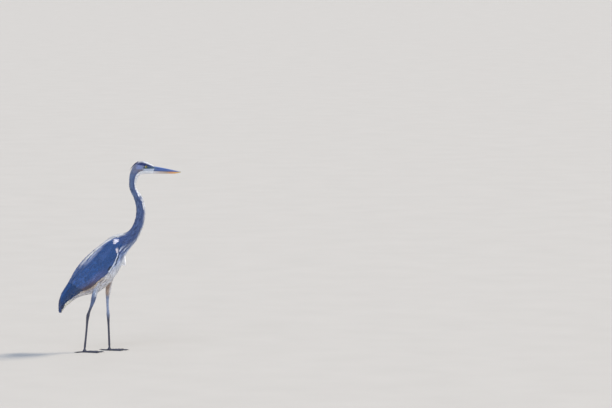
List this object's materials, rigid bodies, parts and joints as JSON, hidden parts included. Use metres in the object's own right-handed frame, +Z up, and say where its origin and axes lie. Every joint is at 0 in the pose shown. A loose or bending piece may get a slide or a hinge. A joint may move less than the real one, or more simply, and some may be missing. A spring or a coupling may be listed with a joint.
{
  "type": "great blue heron",
  "caption": "Life-size great blue heron standing still: neck in an upright S, bill level, wings folded, one leg a step ahead of the other.",
  "frame": {"origin": "on the floor, under the middle of the bounding box", "axes": "+X the way the bird faces, +Y its left side, +Z up"},
  "size_m": [0.6264, 0.1612, 0.9733],
  "materials": {
    "head_plumage": "matte plumage, slate crown over a pale cheek",
    "crest_plumes": "matte black-blue plumes",
    "neck_plumage": "matte plumage, mauve grey with a pale streaked front",
    "breast_plumes": "matte pale plumes",
    "body_plumage": "matte plumage, pale and streaked below, slate above",
    "wing_coverts": "matte slate blue plumage",
    "flight_feathers": "smooth dark slate vanes",
    "tail_feathers": "smooth slate vanes",
    "thigh_plumage": "matte buff plumage",
    "upper_bill_horn": "satin horn",
    "lower_bill_horn": "satin horn",
    "eye": "wet gloss",
    "bare_shank_skin": "scaled bare skin",
    "leg_scales": "scaled dark skin",
    "foot_scales": "scaled dark skin",
    "claw_horn": "polished dark horn"
  },
  "bodies": {
    "root": {"bill_lower": "lower_bill_horn", "bill_upper": "upper_bill_horn", "breast_plumes": "breast_plumes", "claw_hind_left": "claw_horn", "claw_hind_right": "claw_horn", "claw_inner_left": "claw_horn", "claw_inner_right": "claw_horn", "claw_middle_left": "claw_horn", "claw_middle_right": "claw_horn", "claw_outer_left": "claw_horn", "claw_outer_right": "claw_horn", "crest": "crest_plumes", "eye_left": "eye", "eye_right": "eye", "foot_left": "foot_scales", "foot_right": "foot_scales", "head": "head_plumage", "neck_lower": "neck_plumage", "neck_middle": "neck_plumage", "neck_upper": "neck_plumage", "primaries_left": "flight_feathers", "primaries_right": "flight_feathers", "shank_left": "bare_shank_skin", "shank_right": "bare_shank_skin", "tail": "tail_feathers", "tarsus_left": "leg_scales", "tarsus_right": "leg_scales", "thigh_left": "thigh_plumage", "thigh_right": "thigh_plumage", "toe_hind_left": "foot_scales", "toe_hind_right": "foot_scales", "toe_inner_left": "foot_scales", "toe_inner_right": "foot_scales", "toe_middle_left": "foot_scales", "toe_middle_right": "foot_scales", "toe_outer_left": "foot_scales", "toe_outer_right": "foot_scales", "trunk": "body_plumage", "wing_left": "wing_coverts", "wing_right": "wing_coverts"}
  },
  "joints": []
}
